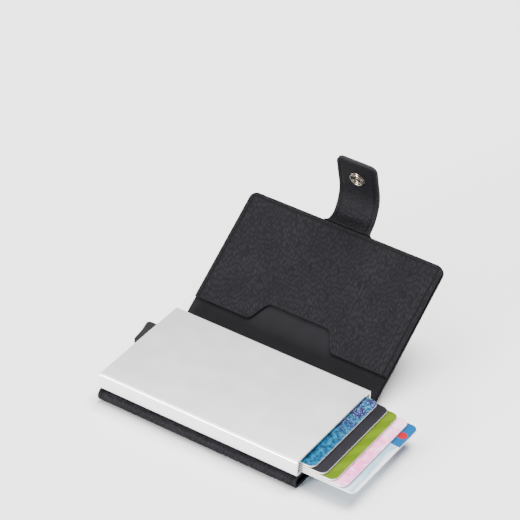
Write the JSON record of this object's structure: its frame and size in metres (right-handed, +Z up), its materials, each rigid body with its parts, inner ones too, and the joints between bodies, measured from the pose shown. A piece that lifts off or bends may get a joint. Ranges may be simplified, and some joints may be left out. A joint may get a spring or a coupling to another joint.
{
  "type": "card holder",
  "caption": "Pop-up card case: aluminium tube with a thumb lever that fans out the cards, on a leather cover with a note pocket, a flap with a card pocket, and a snap strap.",
  "frame": {"origin": "centre of the flat underside of the back cover, under the middle of the metal tube, on the surface that it lies on", "axes": "+X along the tube towards the mouth that the cards come out of, +Y across the tube towards the spine, +Z up from the table"},
  "size_m": [0.1343, 0.1313, 0.0798],
  "materials": {
    "aluminium": "fine satin anodised",
    "black_plastic": "moulded, fine texture",
    "steel": "ground",
    "nickel": "polished nickel plate",
    "felt": "short felt pile",
    "tape": "foam-backed adhesive",
    "leather": "pebbled grain, semi-matt",
    "lining": "smooth, matt",
    "board": "pressed fibre board",
    "card_ice_print": "gloss laminate over a mottled pale blue print",
    "card_slate": "gloss laminate over dark slate",
    "card_lime": "gloss laminate over lime green",
    "card_pink": "gloss laminate over pale pink",
    "card_white": "gloss laminate over white with a blue block"
  },
  "bodies": {
    "base": {"case_shell": "aluminium", "end_frame": "black_plastic", "lever_pivot_pin": "steel", "friction_strip_front": "felt", "friction_strip_rear": "felt", "mounting_tape": "tape", "back_cover": "leather", "note_pocket_lining": "lining", "snap_stud": "nickel", "stud_rivet": "nickel"},
    "lever": {"eject_lever": "black_plastic"},
    "card_1": {"card_1": "card_ice_print"},
    "card_2": {"card_2": "card_slate"},
    "card_3": {"card_3": "card_lime"},
    "card_4": {"card_4": "card_pink"},
    "card_5": {"card_5": "card_white"},
    "spine": {"spine_leather": "leather", "spine_lining": "lining"},
    "flap": {"flap_leather": "leather", "flap_board": "board", "flap_lining": "lining", "flap_pocket_panel": "leather"},
    "strap_root": {"strap_root_facing": "leather", "strap_root_leather": "leather"},
    "strap_middle": {"strap_middle_facing": "leather", "strap_middle_leather": "leather"},
    "strap_end": {"strap_end_facing": "leather", "strap_end_leather": "leather", "snap_socket": "nickel", "snap_cap": "nickel"}
  },
  "joints": [
    {"name": "spine_fold", "type": "hinge", "parent": "base", "child": "spine", "pos_m": [0, 0.0315, 0.002], "axis": [1, 0, 0], "range_deg": [-35.5, 51.7]},
    {"name": "flap_fold", "type": "hinge", "parent": "spine", "child": "flap", "pos_m": [0, 0.04288, 0.01099], "axis": [1, 0, 0], "range_deg": [0, 92.7]},
    {"name": "strap_root_fold", "type": "hinge", "parent": "flap", "child": "strap_root", "pos_m": [0, 0.09117, 0.0447], "axis": [1, 0, 0], "range_deg": [-4.2, 16.7]},
    {"name": "strap_curl", "type": "hinge", "parent": "strap_root", "child": "strap_middle", "pos_m": [0, 0.09448, 0.04789], "axis": [1, 0, 0], "range_deg": [-8.4, 33.2]},
    {"name": "strap_wrap", "type": "hinge", "parent": "strap_middle", "child": "strap_end", "pos_m": [0, 0.0974, 0.06344], "axis": [1, 0, 0], "range_deg": [-15, 59.85]},
    {"name": "lever_turn", "type": "hinge", "parent": "base", "child": "lever", "pos_m": [-0.045, 0.02434, 0.0105], "axis": [0, 0, 1], "range_deg": [-36.58, 0]},
    {"name": "card_1_slide", "type": "slide", "parent": "base", "child": "card_1", "axis": [1, 0, 0], "range_m": [-0.00762, 0]},
    {"name": "card_2_slide", "type": "slide", "parent": "base", "child": "card_2", "axis": [1, 0, 0], "range_m": [-0.01302, 0]},
    {"name": "card_3_slide", "type": "slide", "parent": "base", "child": "card_3", "axis": [1, 0, 0], "range_m": [-0.01802, 0]},
    {"name": "card_4_slide", "type": "slide", "parent": "base", "child": "card_4", "axis": [1, 0, 0], "range_m": [-0.02322, 0]},
    {"name": "card_5_slide", "type": "slide", "parent": "base", "child": "card_5", "axis": [1, 0, 0], "range_m": [-0.02802, 0]}
  ],
  "couplings": [
    {"joint": "strap_root_fold", "follows": "strap_wrap", "ratio": 0.27736},
    {"joint": "strap_curl", "follows": "strap_wrap", "ratio": 0.55388},
    {"joint": "card_1_slide", "follows": "lever_turn", "m_per_rad": 0.011904},
    {"joint": "card_2_slide", "follows": "lever_turn", "m_per_rad": 0.020363},
    {"joint": "card_3_slide", "follows": "lever_turn", "m_per_rad": 0.028195},
    {"joint": "card_4_slide", "follows": "lever_turn", "m_per_rad": 0.03634},
    {"joint": "card_5_slide", "follows": "lever_turn", "m_per_rad": 0.043858}
  ]
}
